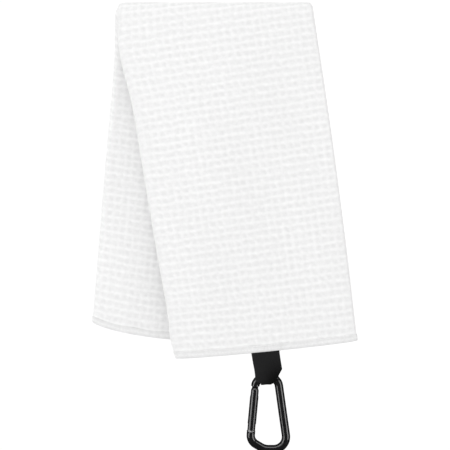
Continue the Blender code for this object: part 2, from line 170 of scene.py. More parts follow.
FLAT_WIDTH = 0.400
RAIL_RADIUS = 0.0055
PANEL_HALF = 0.080
FLAP_WIDTH = 0.120
LEFT_PLY, RIGHT_PLY, PANEL_PLY = 0.0010, 0.0033, 0.0056
LEFT_TURN = 0.0021
FOLD_INSET = 0.0010
CROWN_SPREAD = 1.04
FOOT_SPREAD = 0.975
RIB_PITCH_ACROSS = 0.00606
RIB_PITCH_ALONG = 0.00636
RIB_EDGE = 0.07
PIT_EDGE = 0.33
CLOTH_FLOOR = 0.00035
RIB_HEIGHT = 0.00056
CROSS_RIB_SHARE = 0.50
EDGE_BAND = 0.0064
TUCK = 0.0012
SKEW = math.tan(math.radians(8.0))
YARN = 0.00052
FOLD_BAND = 0.0036
PIT_PAINTED_SHADE = 0.36
SLACK_PATCH = 0.0035
WANDER = 0.00028
ARC_STEPS = 24
COLUMN_LINES = 258
ROW_LINES = 205
SHELL_GAP = 0.02
LOOP_PLACE = -0.0013
HELD_WIDTH = 0.028
SLOW_WAVE, SLOW_WIDTH, SLOW_TURNS = 0.0012, 0.13, 0.55
QUICK_WAVE, QUICK_WIDTH, QUICK_TURNS = 0.0005, 0.057, 1.6
PUCKER, PUCKER_WIDTH = 0.00022, 0.021
BULGE_SHARE = 0.10
SETTLE_SHARE = 0.035
CORNER_TUCK_REACH = 0.006
CORNER_OUT_AT, CORNER_OUT_REACH = 0.017, 0.014
CORNER_LIFT_REACH = 0.012
WANDER_ACROSS, WANDER_ALONG, WANDER_START = 0.031, 0.019, 0.01
FOLD_FLATTENING = 0.75
CLOTH_SHARP_FROM = math.radians(75)
FRONT = {
    "name": "front", "leaf": "front_leaf", "way": 1, "length": 0.2975, "tilt": math.radians(5.7),
    "lean": math.radians(8.5), "sag": 0.0013, "sag_skew": 0.0, "left_bulge": 0.0046, "bulge_at": 0.15,
    "bow": 0.0019, "corner_in": 0.0004, "corner_out": 0.0019, "corner_up": 0.0006, "phase": 1.1,
}
BACK = {
    "name": "back", "leaf": "back_leaf", "way": -1, "length": 0.2840, "tilt": math.radians(-6.5),
    "lean": math.radians(-5.9), "sag": 0.0052, "sag_skew": -0.5, "left_bulge": 0.0030, "bulge_at": 0.03,
    "bow": 0.0008, "corner_in": 0.0, "corner_out": 0.0, "corner_up": 0.0022, "phase": 3.7,
}


def folded_line():
    """The line through the cloth's middle, across the folded strip, as (x, height above the rail)."""
    left_turn = [math.pi / 2 * (2 * step / ARC_STEPS - 1) for step in range(ARC_STEPS + 1)]
    right_turn = list(reversed(left_turn))
    left_middle, left_rise = (LEFT_PLY + PANEL_PLY) / 2, (PANEL_PLY - LEFT_PLY) / 2
    right_middle, right_rise = (RIGHT_PLY + PANEL_PLY) / 2, (PANEL_PLY - RIGHT_PLY) / 2
    left_x = -PANEL_HALF + FOLD_INSET + LEFT_TURN
    right_x = PANEL_HALF - FOLD_INSET - right_rise
    line = [(FLAP_WIDTH - PANEL_HALF, LEFT_PLY)]
    for turn in left_turn:
        line.append((left_x - LEFT_TURN * math.cos(turn), left_middle + left_rise * math.sin(turn)))
    for turn in right_turn:
        line.append((right_x + right_rise * math.cos(turn), right_middle + right_rise * math.sin(turn)))
    line += [(PANEL_HALF - FLAP_WIDTH, RIGHT_PLY)]
    return np.array(line)


FOLDED_LINE = folded_line()
FOLDED_STEPS = np.diff(FOLDED_LINE, axis=0)
FOLDED_LENGTHS = np.hypot(*FOLDED_STEPS.T)
FOLDED_REACH = np.concatenate([[0], np.cumsum(FOLDED_LENGTHS)])
FOLDED_REACH *= FLAT_WIDTH / FOLDED_REACH[-1]
FOLDED_FACING = np.stack([-FOLDED_STEPS[:, 1], FOLDED_STEPS[:, 0]], axis=1) / FOLDED_LENGTHS[:, None]
FACING_PLACES = (FOLDED_REACH[1:] + FOLDED_REACH[:-1]) / 2
PANEL_START = FOLDED_REACH[ARC_STEPS + 1]


def smooth(value, low, high):
    share = np.clip((value - low) / (high - low), 0.0, 1.0)
    return share * share * (3 - 2 * share)


def leaf_length(leaf):
    """The cloth's length from the top of the rail to the foot, along the middle of the panel."""
    return leaf["length"] - RAIL_RADIUS * math.pi / 2 + (RAIL_RADIUS + PANEL_PLY) * math.pi / 2


def ripple(leaf, x, share):
    """A hanging leaf's soft waves: none on the rail or where the loop is sewn, and few at the hem."""
    strength = smooth(share, 0.03, 0.35) * (1 - 0.6 * smooth(share, 0.75, 1.0))
    slow = SLOW_WAVE * np.sin(math.tau * (x / SLOW_WIDTH + SLOW_TURNS * share) + leaf["phase"])
    quick = QUICK_WAVE * np.sin(math.tau * (x / QUICK_WIDTH - QUICK_TURNS * share) + 2 * leaf["phase"])
    pucker = PUCKER * np.sin(math.tau * x / PUCKER_WIDTH) * smooth(share, 0.93, 0.99)
    held_flat = smooth(share, 0.80, 0.97) * np.exp(-(((x - LOOP_PLACE) / HELD_WIDTH) ** 2))
    return (strength * (slow + quick) + pucker) * (1 - held_flat)


def hang(leaf, across, along, out):
    """Carries flat cloth to where it hangs: along is from the rail's top, out from the cloth's middle."""
    x = np.interp(across, FOLDED_REACH, FOLDED_LINE[:, 0])
    ply = np.interp(across, FOLDED_REACH, FOLDED_LINE[:, 1])
    face_x = np.interp(across, FACING_PLACES, FOLDED_FACING[:, 0])
    face_h = np.interp(across, FACING_PLACES, FOLDED_FACING[:, 1])
    size = np.hypot(face_x, face_h)
    x = x + out * face_x / size
    height = ply + out * face_h / size
    straight = leaf["length"] - RAIL_RADIUS * math.pi / 2
    share = along / leaf_length(leaf)
    wrap = (RAIL_RADIUS + ply) * math.pi / 2
    reach = share * (wrap + straight)
    turn = np.minimum(reach / (RAIL_RADIUS + ply), math.pi / 2)
    down = np.maximum(reach - wrap, 0.0) / straight
    side = np.clip(x / PANEL_HALF, -1.0, 1.0)
    left, right = (1 - side) / 2, (1 + side) / 2
    shift = RAIL_RADIUS * turn * math.tan(leaf["lean"]) + down * straight * math.sin(leaf["lean"])
    spread = CROWN_SPREAD + (FOOT_SPREAD * math.cos(leaf["tilt"]) - CROWN_SPREAD) * down
    bulge = -leaf["left_bulge"] * np.exp(-(((share - leaf["bulge_at"]) / BULGE_SHARE) ** 2)) * left**2
    bow = leaf["bow"] * np.sin(math.pi * share) * (right - left)
    to_foot = leaf_length(leaf) - along
    tuck = leaf["corner_in"] * np.exp(-((to_foot / CORNER_TUCK_REACH) ** 2)) * left**5
    flare = leaf["corner_out"] * np.exp(-(((to_foot - CORNER_OUT_AT) / CORNER_OUT_REACH) ** 2)) * left**3
    settle = smooth(share, 0.0, SETTLE_SHARE)
    hung_x = x * spread + shift + (bulge + bow) * settle + (tuck - flare)
    drop = down * (straight * math.cos(leaf["lean"]) - math.sin(leaf["tilt"]) * FOOT_SPREAD * x)
    sag = leaf["sag"] * (1 - side**2) * (1 + leaf["sag_skew"] * side) * down**3
    lift = leaf["corner_up"] * (left**24 + right**24) * np.exp(-((to_foot / CORNER_LIFT_REACH) ** 2))
    around = RAIL_RADIUS + height
    depth = around * np.sin(turn) + ripple(leaf, x, share)
    hung_z = around * np.cos(turn) - RAIL_RADIUS - drop - sag + lift
    return np.stack([hung_x, -leaf["way"] * depth, hung_z], axis=1)


def rib_lines(pitch, first, count):
    """Mesh lines across the ribs: both edges of each rib's top and of each pit's floor."""
    places = (-RIB_EDGE, RIB_EDGE, PIT_EDGE, 1 - PIT_EDGE)
    lines = [pitch * (line // 4 + places[line % 4]) for line in range(4 * first, 4 * first + count)]
    return np.array(lines)


def down_from_rail(leaf, across, row):
    """How far below the rail's top a row lies at a place across: skewed there, level with the hem."""
    x = np.interp(across, FOLDED_REACH, FOLDED_LINE[:, 0])
    share = row / leaf_length(leaf)
    skew = SKEW - math.tan(abs(leaf["tilt"])) * smooth(share, 0.05, 1.05)
    skew = skew * (1 - smooth(share, 0.75, 1.0))
    return row - leaf["way"] * x * skew


def yarn_group():
    """Fine twisted yarns, over and under each other, from the cloth's own flat coordinates."""
    tree = bpy.data.node_groups.new("towel_yarns", "ShaderNodeTree")
    tree.interface.new_socket("Flat Place", in_out="INPUT", socket_type="NodeSocketVector")
    tree.interface.new_socket("Yarn Count", in_out="INPUT", socket_type="NodeSocketFloat")
    tree.interface.new_socket("Height", in_out="OUTPUT", socket_type="NodeSocketFloat")
    tree.interface.new_socket("Tone", in_out="OUTPUT", socket_type="NodeSocketFloat")
    source = tree.nodes.new("NodeGroupInput")
    result = tree.nodes.new("NodeGroupOutput")
    scaled = tree.nodes.new("ShaderNodeVectorMath")
    scaled.operation = "SCALE"
    tree.links.new(source.outputs["Flat Place"], scaled.inputs[0])
    tree.links.new(source.outputs["Yarn Count"], scaled.inputs["Scale"])
    parts = tree.nodes.new("ShaderNodeSeparateXYZ")
    tree.links.new(scaled.outputs[0], parts.inputs[0])
    waves = []
    for axis in ("X", "Y"):
        wave = tree.nodes.new("ShaderNodeMath")
        wave.operation = "SINE"
        tree.links.new(parts.outputs[axis], wave.inputs[0])
        waves.append(wave)
    weave = tree.nodes.new("ShaderNodeMath")
    weave.operation = "MULTIPLY"
    tree.links.new(waves[0].outputs[0], weave.inputs[0])
    tree.links.new(waves[1].outputs[0], weave.inputs[1])
    fuzz = tree.nodes.new("ShaderNodeTexNoise")
    fuzz.inputs["Scale"].default_value = 0.35
    fuzz.inputs["Detail"].default_value = 3.0
    tree.links.new(scaled.outputs[0], fuzz.inputs["Vector"])
    height = tree.nodes.new("ShaderNodeMath")
    height.operation = "MULTIPLY_ADD"
    height.inputs[1].default_value = 0.35
    tree.links.new(weave.outputs[0], height.inputs[0])
    tree.links.new(fuzz.outputs[0], height.inputs[2])
    tree.links.new(height.outputs[0], result.inputs["Height"])
    tree.links.new(fuzz.outputs[0], result.inputs["Tone"])
    return tree


TOWEL_YARNS = yarn_group()


def new_material(name, roughness, sheen=0.0, specular=0.5):
    made = bpy.data.materials.new(name)
    made.use_nodes = True
    shader = made.node_tree.nodes["Principled BSDF"]
    shader.inputs["Roughness"].default_value = roughness
    shader.inputs["Sheen Weight"].default_value = sheen
    shader.inputs["Specular IOR Level"].default_value = specular
    return made, made.node_tree, shader


def cloth_material():
    """White cotton: painted shade makes the pits a shade darker than the ribs, and single yarns show
    close up.
    """
    made, tree, shader = new_material("waffle_cotton", roughness=0.92, sheen=0.12, specular=0.18)
    flat = tree.nodes.new("ShaderNodeUVMap")
    flat.uv_map = "flat_cloth"
    yarns = tree.nodes.new("ShaderNodeGroup")
    yarns.node_tree = TOWEL_YARNS
    yarns.inputs["Yarn Count"].default_value = math.tau / YARN
    tree.links.new(flat.outputs[0], yarns.inputs["Flat Place"])
    # Painted shade: the "tone" attribute is low in the pits and on flattened folds, and the ramp paints
    # those a darker white.
    painted_pit_shade = tree.nodes.new("ShaderNodeAttribute")
    painted_pit_shade.attribute_name = "tone"
    depth = tree.nodes.new("ShaderNodeValToRGB")
    depth.color_ramp.elements[0].color = (0.86, 0.86, 0.86, 1)
    depth.color_ramp.elements[1].color = (0.99, 0.99, 0.99, 1)
    tree.links.new(painted_pit_shade.outputs["Fac"], depth.inputs[0])
    mottle = tree.nodes.new("ShaderNodeMix")
    mottle.data_type = "RGBA"
    mottle.blend_type = "MULTIPLY"
    mottle.inputs["B"].default_value = (0.965, 0.965, 0.965, 1)
    tree.links.new(yarns.outputs["Tone"], mottle.inputs["Factor"])
    tree.links.new(depth.outputs[0], mottle.inputs["A"])
    slack = tree.nodes.new("ShaderNodeTexNoise")
    slack.inputs["Scale"].default_value = 1 / SLACK_PATCH
    slack.inputs["Detail"].default_value = 2.0
    tree.links.new(flat.outputs[0], slack.inputs["Vector"])
    uneven = tree.nodes.new("ShaderNodeMix")
    uneven.data_type = "RGBA"
    uneven.blend_type = "MULTIPLY"
    uneven.inputs["B"].default_value = (0.80, 0.80, 0.80, 1)
    tree.links.new(slack.outputs[0], uneven.inputs["Factor"])
    tree.links.new(mottle.outputs["Result"], uneven.inputs["A"])
    tree.links.new(uneven.outputs["Result"], shader.inputs["Base Color"])
    bump = tree.nodes.new("ShaderNodeBump")
    bump.inputs["Strength"].default_value = 0.5
    bump.inputs["Distance"].default_value = 0.00012
    tree.links.new(yarns.outputs["Height"], bump.inputs["Height"])
    tree.links.new(bump.outputs[0], shader.inputs["Normal"])
    return made


WAFFLE_COTTON = cloth_material()


def smooth_object(name, bm, material, sharp_from=math.pi):
    """Makes a built mesh into an object, shaded smoothly but for edges sharper than an angle."""
    mesh = bpy.data.meshes.new(name)
    bm.to_mesh(mesh)
    bm.free()
    mesh.shade_smooth()
    mesh.set_sharp_from_angle(angle=sharp_from)
    mesh.materials.append(material)
    thing = bpy.data.objects.new(name, mesh)
    bpy.context.scene.collection.objects.link(thing)
    return thing


def hang_mesh(leaf, name, bm, material):
    """Hangs a flat mesh whose vertices lie at (across, down from the rail's top, out)."""
    bmesh.ops.recalc_face_normals(bm, faces=bm.faces)
    if leaf["way"] > 0:
        bmesh.ops.reverse_faces(bm, faces=bm.faces)
    flat = np.array([vert.co for vert in bm.verts])
    for vert, place in zip(bm.verts, hang(leaf, *flat.T)):
        vert.co = place
    return smooth_object(name, bm, material, CLOTH_SHARP_FROM)


def mark_weave(bm, flat_places, tones):
    """Gives each vertex its place in the weave, as UVs, and how pale it is painted, which carries painted
    shade.
    """
    uvs = bm.loops.layers.uv.new("flat_cloth")
    marks = bm.verts.layers.float.new("tone")
    bm.verts.index_update()
    for vert, tone in zip(bm.verts, tones):
        vert[marks] = tone
    for face in bm.faces:
        for loop in face.loops:
            loop[uvs].uv = flat_places[loop.vert.index]


def bend_with_leaf(thing):
    """Bakes the hung piece's placement into its mesh."""
    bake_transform(thing)


def flat_shell(columns, rows):
    """A flat closed shell with that many mesh lines each way, its face up. It spans -0.5 to 0.5."""
    bm = bmesh.new()
    bmesh.ops.create_grid(bm, x_segments=columns - 1, y_segments=rows - 1, size=0.5)
    bmesh.ops.translate(bm, vec=(0, 0, SHELL_GAP / 2), verts=bm.verts)
    shape = bm.verts[:] + bm.edges[:] + bm.faces[:]
    under = bmesh.ops.duplicate(bm, geom=shape)["geom"]
    lower = [part for part in under if isinstance(part, bmesh.types.BMVert)]
    bmesh.ops.translate(bm, vec=(0, 0, -SHELL_GAP), verts=lower)
    bmesh.ops.reverse_faces(bm, faces=[part for part in under if isinstance(part, bmesh.types.BMFace)])
    bmesh.ops.bridge_loops(bm, edges=[edge for edge in bm.edges if edge.is_boundary])
    bmesh.ops.recalc_face_normals(bm, faces=bm.faces)
    return bm, np.array([vert.co for vert in bm.verts])


def make_cloth(leaf):
    """One leaf of all three plies, woven flat as a closed shell and cut where it meets the other leaf."""
    lines = rib_lines(RIB_PITCH_ACROSS, 1, COLUMN_LINES) - TUCK / 2
    rows = rib_lines(RIB_PITCH_ALONG, -2, ROW_LINES)
    rows = rows[rows < leaf_length(leaf) - EDGE_BAND + TUCK]
    bm, places = flat_shell(len(lines), len(rows))
    column = np.rint((places[:, 0] + 0.5) * (len(lines) - 1)).astype(int)
    row = np.rint((places[:, 1] + 0.5) * (len(rows) - 1)).astype(int)
    face = np.where(places[:, 2] > 0, 0, 2)
    on_row = ((row + face) % 4 < 2).astype(float)
    on_column = ((column + face) % 4 < 2) * CROSS_RIB_SHARE
    rib = np.maximum(on_row, on_column)
    across = lines[column]
    down = down_from_rail(leaf, across, rows[row])
    wave = np.sin(math.tau * (across / WANDER_ACROSS + rows[row] / WANDER_ALONG))
    down = down + WANDER * wave * smooth(rows[row], 0.0, WANDER_START)
    for fold in (PANEL_START - LEFT_TURN, PANEL_START + 2 * PANEL_HALF - LEFT_TURN):
        rib = rib * (1 - FOLD_FLATTENING * np.exp(-(((across - fold) / FOLD_BAND) ** 2)))
    out = (CLOTH_FLOOR + RIB_HEIGHT * rib) * np.where(face == 0, 1, -1)
    # Painted shade: pits, the lower cross ribs and the flattened folds get a lower tone, which paints
    # them darker.
    tone = PIT_PAINTED_SHADE + (1 - PIT_PAINTED_SHADE) * rib
    mark_weave(bm, np.stack([across, rows[row] * leaf["way"]], axis=1), tone)
    for vert, place in zip(bm.verts, np.stack([across, down, out], axis=1)):
        vert.co = place
    whole = bm.verts[:] + bm.edges[:] + bm.faces[:]
    bmesh.ops.bisect_plane(bm, geom=whole, dist=1e-5, plane_co=(0, 0, 0), plane_no=(0, 1, 0),
                           clear_inner=True)
    bmesh.ops.edgeloop_fill(bm, edges=[edge for edge in bm.edges if edge.is_boundary])
    cloth = hang_mesh(leaf, f"{leaf['name']}_cloth", bm, WAFFLE_COTTON)
    bend_with_leaf(cloth)
    plies = ("panel", "left_flap", "right_flap")
    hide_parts(*[f"{leaf['name']}_{ply}" for ply in plies])
    return cloth


front_cloth = make_cloth(FRONT)
back_cloth = make_cloth(BACK)
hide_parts("fold_panel", "fold_left_flap", "fold_right_flap")


# The hems: the cloth's edges turned in twice to a smooth flat band and sewn down with a row of white
# lockstitches. The band along a foot goes round all three plies, and one more runs down each flap's edge.

HEM_STITCH_LINE = 0.0027
STITCH_PITCH = 0.0029
STITCH_LENGTH = 0.0022
STITCH_RADIUS = 0.00021
STITCH_DIP = 0.00028
HEM_OUT = 0.00112
PANEL_HEM_EXTRA = 0.00022
LOOP_HEM_EXTRA = 0.00150
HEM_IN = 0.00100
HEM_PAINTED_SHADE = 0.0
LOOP_HALF = 0.0119
SEAM_WIDTH = 0.0006
HEM_SIDES, HEM_STEPS = 28, 560
SIDE_HEM_SIDES, SIDE_HEM_STEPS, SIDE_HEM_OUT = 16, 110, 0.00104
SEAM_TONE, SEAM_TONE_WIDTH = 0.75, 0.0008
THREAD_LIFT = 0.00010
THREAD_DIP = 0.00022


def hem_face(leaf, across, to_foot):
    """How far the hem's face stands from the cloth's middle: more where the loop's ends lie inside."""
    panel_end = PANEL_START + 2 * PANEL_HALF
    on_panel = smooth(across, PANEL_START, PANEL_START + 0.004)
    on_panel *= 1 - smooth(across, panel_end - 0.010, panel_end - 0.006)
    x = np.interp(across, FOLDED_REACH, FOLDED_LINE[:, 0])
    face = HEM_OUT + PANEL_HEM_EXTRA * on_panel
    if leaf["way"] > 0:
        over_loop = 1 - smooth(np.abs(x - LOOP_PLACE), LOOP_HALF, LOOP_HALF + 0.004)
        face = face + LOOP_HEM_EXTRA * over_loop * on_panel
    row = np.exp(-(((to_foot - HEM_STITCH_LINE) / SEAM_WIDTH) ** 2))
    pull = 0.8 + 0.2 * np.cos(math.tau * across / STITCH_PITCH)
    return face - STITCH_DIP * row * pull


def tube(sides, steps):
    """A closed tube, with each vertex's turn round it and share along it, to be shaped into a band."""
    bm = bmesh.new()
    bmesh.ops.create_cone(bm, cap_ends=True, segments=sides, radius1=1, radius2=1, depth=1)
    long_edges = [edge for edge in bm.edges if abs(edge.verts[0].co.z - edge.verts[1].co.z) > 0.5]
    bmesh.ops.subdivide_edges(bm, edges=long_edges, cuts=steps - 1)
    bm.normal_update()
    places = np.array([vert.co for vert in bm.verts])
    return bm, np.arctan2(places[:, 1], places[:, 0]), places[:, 2] + 0.5


def rounded(value, power):
    return np.sign(value) * np.abs(value) ** power


def make_hem(leaf):
    """The band along a leaf's foot, round all three plies."""
    bm, turn, share = tube(HEM_SIDES, HEM_STEPS)
    to_foot = EDGE_BAND / 2 * (1 + rounded(np.cos(turn), 0.55))
    across = share * FLAT_WIDTH
    rise = rounded(np.sin(turn), 0.5)
    out = np.where(rise > 0, rise * hem_face(leaf, across, to_foot), rise * HEM_IN)
    # Painted shade: the band is painted in the same darker shade as the pits, and paler along its seam
    # line.
    tone = HEM_PAINTED_SHADE + SEAM_TONE * np.exp(-(((to_foot - HEM_STITCH_LINE) / SEAM_TONE_WIDTH) ** 2))
    hem = hang_band(leaf, f"{leaf['name']}_hem_band", bm, across, leaf_length(leaf) - to_foot, out, tone)
    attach(hem, leaf["leaf"])
    plies = ("hem", "left_flap_hem", "right_flap_hem")
    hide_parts(*[f"{leaf['name']}_{ply}" for ply in plies])
    return hem


def make_side_hem(leaf, name, edge):
    """The band down a flap's free edge, at either end of the cloth's width."""
    bm, turn, share = tube(SIDE_HEM_SIDES, SIDE_HEM_STEPS)
    inward = 1 if edge == 0 else -1
    across = edge + inward * EDGE_BAND / 2 * (1 - rounded(np.cos(turn), 0.5))
    out = rounded(np.sin(turn), 0.5) * SIDE_HEM_OUT
    down = share**1.6 * (leaf_length(leaf) - EDGE_BAND + 0.0004)
    # Painted shade: the side band is painted in the same darker shade as the pits.
    tone = np.full(len(across), HEM_PAINTED_SHADE)
    hem = hang_band(leaf, f"{leaf['name']}_{name}", bm, across, down, out, tone)
    bend_with_leaf(hem)
    return hem


def hang_band(leaf, name, bm, across, down, out, tone):
    places = np.stack([across, down, out], axis=1)
    mark_weave(bm, places[:, :2] * (1, leaf["way"]), tone)
    for vert, place in zip(bm.verts, places):
        vert.co = place
    band = hang_mesh(leaf, name, bm, WAFFLE_COTTON)
    return band


def thread_material():
    made, tree, shader = new_material("white_thread", roughness=0.6, sheen=0.2, specular=0.3)
    place = tree.nodes.new("ShaderNodeTexCoord")
    twist = tree.nodes.new("ShaderNodeTexWave")
    twist.bands_direction = "DIAGONAL"
    twist.inputs["Scale"].default_value = 2200.0
    tree.links.new(place.outputs["Object"], twist.inputs["Vector"])
    tone = tree.nodes.new("ShaderNodeValToRGB")
    tone.color_ramp.elements[0].color = (0.84, 0.84, 0.84, 1)
    tone.color_ramp.elements[1].color = (0.95, 0.95, 0.95, 1)
    tree.links.new(twist.outputs["Fac"], tone.inputs[0])
    tree.links.new(tone.outputs[0], shader.inputs["Base Color"])
    return made


WHITE_THREAD = thread_material()


def stitch_shape():
    """A short round length of thread along z, ready to be laid along a seam."""
    bm = bmesh.new()
    bmesh.ops.create_cone(bm, cap_ends=True, segments=6, radius1=1, radius2=1, depth=2)
    long_edges = [edge for edge in bm.edges if abs(edge.verts[0].co.z - edge.verts[1].co.z) > 1]
    bmesh.ops.subdivide_edges(bm, edges=long_edges, cuts=3)
    mesh = bpy.data.meshes.new("stitch_shape")
    bm.to_mesh(mesh)
    bm.free()
    return mesh


STITCH_SHAPE = stitch_shape()


def stitch_row(bm, stitches):
    """Lays stitches given as (across, along, out, slant), each thinner and lower at its ends."""
    shape = np.array([vert.co for vert in STITCH_SHAPE.vertices])
    wide, high, length = shape.T
    thick = STITCH_RADIUS * (1 - 0.55 * length**4)
    run = STITCH_LENGTH / 2 * length
    flat = []
    for across, along, out, slant in stitches:
        bm.from_mesh(STITCH_SHAPE)
        flat.append(np.stack([across + run * math.cos(slant) - thick * wide * math.sin(slant),
                              along + run * math.sin(slant) + thick * wide * math.cos(slant),
                              out + thick * high - THREAD_DIP * length**2], axis=1))
    return np.concatenate(flat)


def hang_stitches(leaf, name, stitches):
    bm = bmesh.new()
    for vert, place in zip(bm.verts, stitch_row(bm, stitches)):
        vert.co = place
    thing = hang_mesh(leaf, name, bm, WHITE_THREAD)
    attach(thing, leaf["leaf"])
    return thing


def make_hem_stitches(leaf):
    count = int((FLAT_WIDTH - 0.004) / STITCH_PITCH)
    across = 0.002 + STITCH_PITCH * (np.arange(count) + 0.5)
    out = hem_face(leaf, across, HEM_STITCH_LINE) + THREAD_LIFT
    along = leaf_length(leaf) - HEM_STITCH_LINE
    rows = [(place, along, height, 0.0) for place, height in zip(across, out)]
    stitches = hang_stitches(leaf, f"{leaf['name']}_hem_stitches", rows)
    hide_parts(f"{leaf['name']}_hem_thread")
    return stitches


for leaf, cloth in ((FRONT, front_cloth), (BACK, back_cloth)):
    pieces = [make_hem(leaf), make_hem_stitches(leaf)]
    for name, edge in (("left_flap_edge", 0.0), ("right_flap_edge", FLAT_WIDTH)):
        pieces.append(make_side_hem(leaf, name, edge))


# The webbing loop: black woven polyester tape about 24 mm wide. Its two ends are sewn inside the front
# hem, and its bend is bunched together inside the carabiner's narrow top. The tape is drawn in two parts,
# cut at the level where its bend starts.

HINGE = Vector((0.042916, -0.012, -0.2928))
BEND = Vector((0.044412, -0.012, -0.314749))
TAPE = 0.0011
TAPE_PARTING = 0.00062
BEND_INSIDE = 0.0046
SEWN_IN = 0.0052
TAPE_RIB = 0.00125
TURN_LEVEL = 0.0074
TAPE_ARC_STEPS = 24
STRAIGHT_DOWN_TO = 0.0016
TAPE_COLUMNS, TAPE_ROWS = 27, 121
TANGENT_STEP = 0.0004
TAPE_CREASE = 0.00012
TAPE_CURL = 0.0009
EDGE_THINNING = 0.25
BEND_LEVELLING = 0.45
BEND_SHADE = 0.9
LOOP_LEVELS = (-0.3, 0.0, 0.35, 0.66, 0.87, 1.0, 1.09, 1.13, 1.175, 1.27)
LOOP_LEFT = (-0.0119, -0.0119, -0.0112, -0.0104, -0.0101, -0.0100, -0.0093, -0.0078, -0.0057, -0.0050)
LOOP_RIGHT = (0.0119, 0.0119, 0.0124, 0.0131, 0.0102, 0.0086, 0.0075, 0.0068, 0.0057, 0.0050)
HEM_TILT = math.radians(5.7)
TAPE_SHARP_FROM = math.radians(60)
CUT_MARGIN = 1e-6


def tape_line():
    """The line through the tape's middle, as (y from the hinge, z), from one sewn end to the other."""
    round_bend = BEND_INSIDE + TAPE / 2
    inside = [(TAPE_PARTING, HINGE.z + SEWN_IN * (1 - step / 6)) for step in range(6)]
    fall = []
    for step in range(TAPE_ARC_STEPS + 1):
        share = step / TAPE_ARC_STEPS
        z = HINGE.z + (BEND.z + STRAIGHT_DOWN_TO - HINGE.z) * share
        fall.append((TAPE_PARTING + (round_bend - TAPE_PARTING) * float(smooth(share, 0.02, 0.92)), z))
    bend = []
    for step in range(1, TAPE_ARC_STEPS + 1):
        turn = math.pi * step / (2 * TAPE_ARC_STEPS)
        bend.append((round_bend * math.cos(turn), BEND.z - round_bend * math.sin(turn)))
    front = [(-y, z) for y, z in inside + fall + bend]
    return np.array(front + [(-y, z) for y, z in reversed(front[:-1])])


TAPE_LINE = tape_line()
TAPE_STEPS = np.hypot(*np.diff(TAPE_LINE, axis=0).T)
TAPE_REACH = np.concatenate([[0], np.cumsum(TAPE_STEPS)])


def tape_edges(z, front):
    """The tape's edges at a height: the front swells to the right, then both plies bunch together."""
    drop = (HINGE.z - z) / (HINGE.z - BEND.z)
    right = LOOP_RIGHT if front else [-value for value in LOOP_LEFT]
    middle = HINGE.x + (BEND.x - HINGE.x) * np.clip(drop, 0, 1)
    return middle + np.interp(drop, LOOP_LEVELS, LOOP_LEFT), middle + np.interp(drop, LOOP_LEVELS, right)


def tape_material():
    """Flat black tape: fine ribs along it, crossed by closely packed weft, with painted shade darker down
    the loop.
    """
    made, tree, shader = new_material("black_tape", roughness=0.86, sheen=0.02, specular=0.09)
    flat = tree.nodes.new("ShaderNodeUVMap")
    flat.uv_map = "flat_cloth"
    yarns = tree.nodes.new("ShaderNodeGroup")
    yarns.node_tree = TOWEL_YARNS
    yarns.inputs["Yarn Count"].default_value = math.tau / (TAPE_RIB / 2)
    tree.links.new(flat.outputs[0], yarns.inputs["Flat Place"])
    parts = tree.nodes.new("ShaderNodeSeparateXYZ")
    tree.links.new(flat.outputs[0], parts.inputs[0])
    rib = tree.nodes.new("ShaderNodeMath")
    rib.operation = "MULTIPLY"
    rib.inputs[1].default_value = math.tau / TAPE_RIB
    tree.links.new(parts.outputs["X"], rib.inputs[0])
    wave = tree.nodes.new("ShaderNodeMath")
    wave.operation = "SINE"
    tree.links.new(rib.outputs[0], wave.inputs[0])
    height = tree.nodes.new("ShaderNodeMath")
    height.operation = "ADD"
    tree.links.new(wave.outputs[0], height.inputs[0])
    tree.links.new(yarns.outputs["Height"], height.inputs[1])
    tone = tree.nodes.new("ShaderNodeValToRGB")
    tone.color_ramp.elements[0].color = (0.0078, 0.0078, 0.0082, 1)
    tone.color_ramp.elements[1].color = (0.0145, 0.0145, 0.015, 1)
    tree.links.new(yarns.outputs["Tone"], tone.inputs[0])
    # Painted shade: the loop's "tone" attribute darkens the tape's colour.
    shade = tree.nodes.new("ShaderNodeAttribute")
    shade.attribute_name = "tone"
    shaded = tree.nodes.new("ShaderNodeMix")
    shaded.data_type = "RGBA"
    shaded.blend_type = "MULTIPLY"
    shaded.inputs["Factor"].default_value = 1.0
    tree.links.new(tone.outputs[0], shaded.inputs["A"])
    tree.links.new(shade.outputs["Fac"], shaded.inputs["B"])
    tree.links.new(shaded.outputs["Result"], shader.inputs["Base Color"])
    bump = tree.nodes.new("ShaderNodeBump")
    bump.inputs["Strength"].default_value = 0.6
    bump.inputs["Distance"].default_value = 0.00012
    tree.links.new(height.outputs[0], bump.inputs["Height"])
    tree.links.new(bump.outputs[0], shader.inputs["Normal"])
    return made


